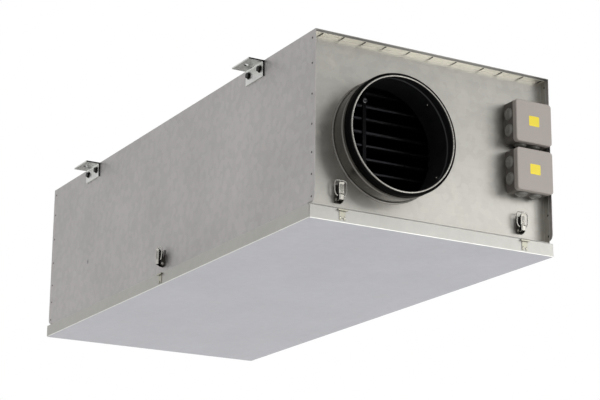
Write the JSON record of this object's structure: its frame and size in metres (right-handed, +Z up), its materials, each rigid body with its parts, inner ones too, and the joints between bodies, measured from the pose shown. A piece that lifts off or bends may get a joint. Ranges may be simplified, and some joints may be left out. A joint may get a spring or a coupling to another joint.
{
  "type": "air handling unit",
  "caption": "Slim ceiling air handling unit with round duct spigots, a latched bottom cover, junction boxes and hanger brackets.",
  "frame": {"origin": "middle of the footprint, on the underside of the service cover", "axes": "+Z up, +Y from the outlet end with the junction boxes to the inlet end, +X to the right seen from the outlet end"},
  "size_m": [0.642, 1.408, 0.386],
  "materials": {
    "galvanized_sheet": "satin",
    "insulated_lining": "matte",
    "seal_rubber": "matte",
    "stainless_rod": "satin",
    "filter_card": "matte",
    "filter_fleece": "matte",
    "box_plastic": "matte",
    "zinc_plated_steel": "satin",
    "dark_bolt": "satin"
  },
  "bodies": {
    "casing": {"left_side_panel": "galvanized_sheet", "right_side_panel": "galvanized_sheet", "top_panel": "galvanized_sheet", "front_end_panel": "galvanized_sheet", "back_end_panel": "galvanized_sheet", "service_cover": "galvanized_sheet", "duct_spigots": "galvanized_sheet", "heater_frame": "galvanized_sheet", "heater_support_bars": "galvanized_sheet", "left_lining": "insulated_lining", "right_lining": "insulated_lining", "top_lining": "insulated_lining", "front_lining": "insulated_lining", "back_lining": "insulated_lining", "cover_lining": "insulated_lining", "spigot_seals": "seal_rubber", "box_membranes": "seal_rubber", "heater_rods": "stainless_rod", "filter_frame": "filter_card", "filter_media": "filter_fleece", "upper_box_base": "box_plastic", "upper_box_lid": "box_plastic", "lower_box_base": "box_plastic", "lower_box_lid": "box_plastic", "latch_bases": "zinc_plated_steel", "latch_keepers": "zinc_plated_steel", "hanger_brackets": "zinc_plated_steel", "hanger_bolts": "dark_bolt"},
    "lever_front_left": {"latch_lever_front_left": "zinc_plated_steel"},
    "bail_front_left": {"latch_bail_front_left": "zinc_plated_steel"},
    "lever_front_right": {"latch_lever_front_right": "zinc_plated_steel"},
    "bail_front_right": {"latch_bail_front_right": "zinc_plated_steel"},
    "lever_right": {"latch_lever_right": "zinc_plated_steel"},
    "bail_right": {"latch_bail_right": "zinc_plated_steel"},
    "lever_back_right": {"latch_lever_back_right": "zinc_plated_steel"},
    "bail_back_right": {"latch_bail_back_right": "zinc_plated_steel"},
    "lever_back_left": {"latch_lever_back_left": "zinc_plated_steel"},
    "bail_back_left": {"latch_bail_back_left": "zinc_plated_steel"},
    "lever_left": {"latch_lever_left": "zinc_plated_steel"},
    "bail_left": {"latch_bail_left": "zinc_plated_steel"}
  },
  "joints": [
    {"name": "lever_front_left_swing", "type": "hinge", "parent": "casing", "child": "lever_front_left", "pos_m": [-0.218, -0.645, 0.0485], "axis": [1, 0, 0], "range_deg": [0, 90]},
    {"name": "bail_front_left_swing", "type": "hinge", "parent": "lever_front_left", "child": "bail_front_left", "pos_m": [-0.218, -0.651, 0.056], "axis": [-1, 0, 0], "range_deg": [-150, 0]},
    {"name": "lever_front_right_swing", "type": "hinge", "parent": "casing", "child": "lever_front_right", "pos_m": [0.218, -0.645, 0.0485], "axis": [1, 0, 0], "range_deg": [0, 90]},
    {"name": "bail_front_right_swing", "type": "hinge", "parent": "lever_front_right", "child": "bail_front_right", "pos_m": [0.218, -0.651, 0.056], "axis": [-1, 0, 0], "range_deg": [-150, 0]},
    {"name": "lever_right_swing", "type": "hinge", "parent": "casing", "child": "lever_right", "pos_m": [0.291, 0, 0.0485], "axis": [0, 1, 0], "range_deg": [0, 90]},
    {"name": "bail_right_swing", "type": "hinge", "parent": "lever_right", "child": "bail_right", "pos_m": [0.297, 0, 0.056], "axis": [0, -1, 0], "range_deg": [-150, 0]},
    {"name": "lever_back_right_swing", "type": "hinge", "parent": "casing", "child": "lever_back_right", "pos_m": [0.218, 0.645, 0.0485], "axis": [-1, 0, 0], "range_deg": [0, 90]},
    {"name": "bail_back_right_swing", "type": "hinge", "parent": "lever_back_right", "child": "bail_back_right", "pos_m": [0.218, 0.651, 0.056], "axis": [1, 0, 0], "range_deg": [-150, 0]},
    {"name": "lever_back_left_swing", "type": "hinge", "parent": "casing", "child": "lever_back_left", "pos_m": [-0.218, 0.645, 0.0485], "axis": [-1, 0, 0], "range_deg": [0, 90]},
    {"name": "bail_back_left_swing", "type": "hinge", "parent": "lever_back_left", "child": "bail_back_left", "pos_m": [-0.218, 0.651, 0.056], "axis": [1, 0, 0], "range_deg": [-150, 0]},
    {"name": "lever_left_swing", "type": "hinge", "parent": "casing", "child": "lever_left", "pos_m": [-0.291, 0, 0.0485], "axis": [0, -1, 0], "range_deg": [0, 90]},
    {"name": "bail_left_swing", "type": "hinge", "parent": "lever_left", "child": "bail_left", "pos_m": [-0.297, 0, 0.056], "axis": [0, 1, 0], "range_deg": [-150, 0]}
  ]
}
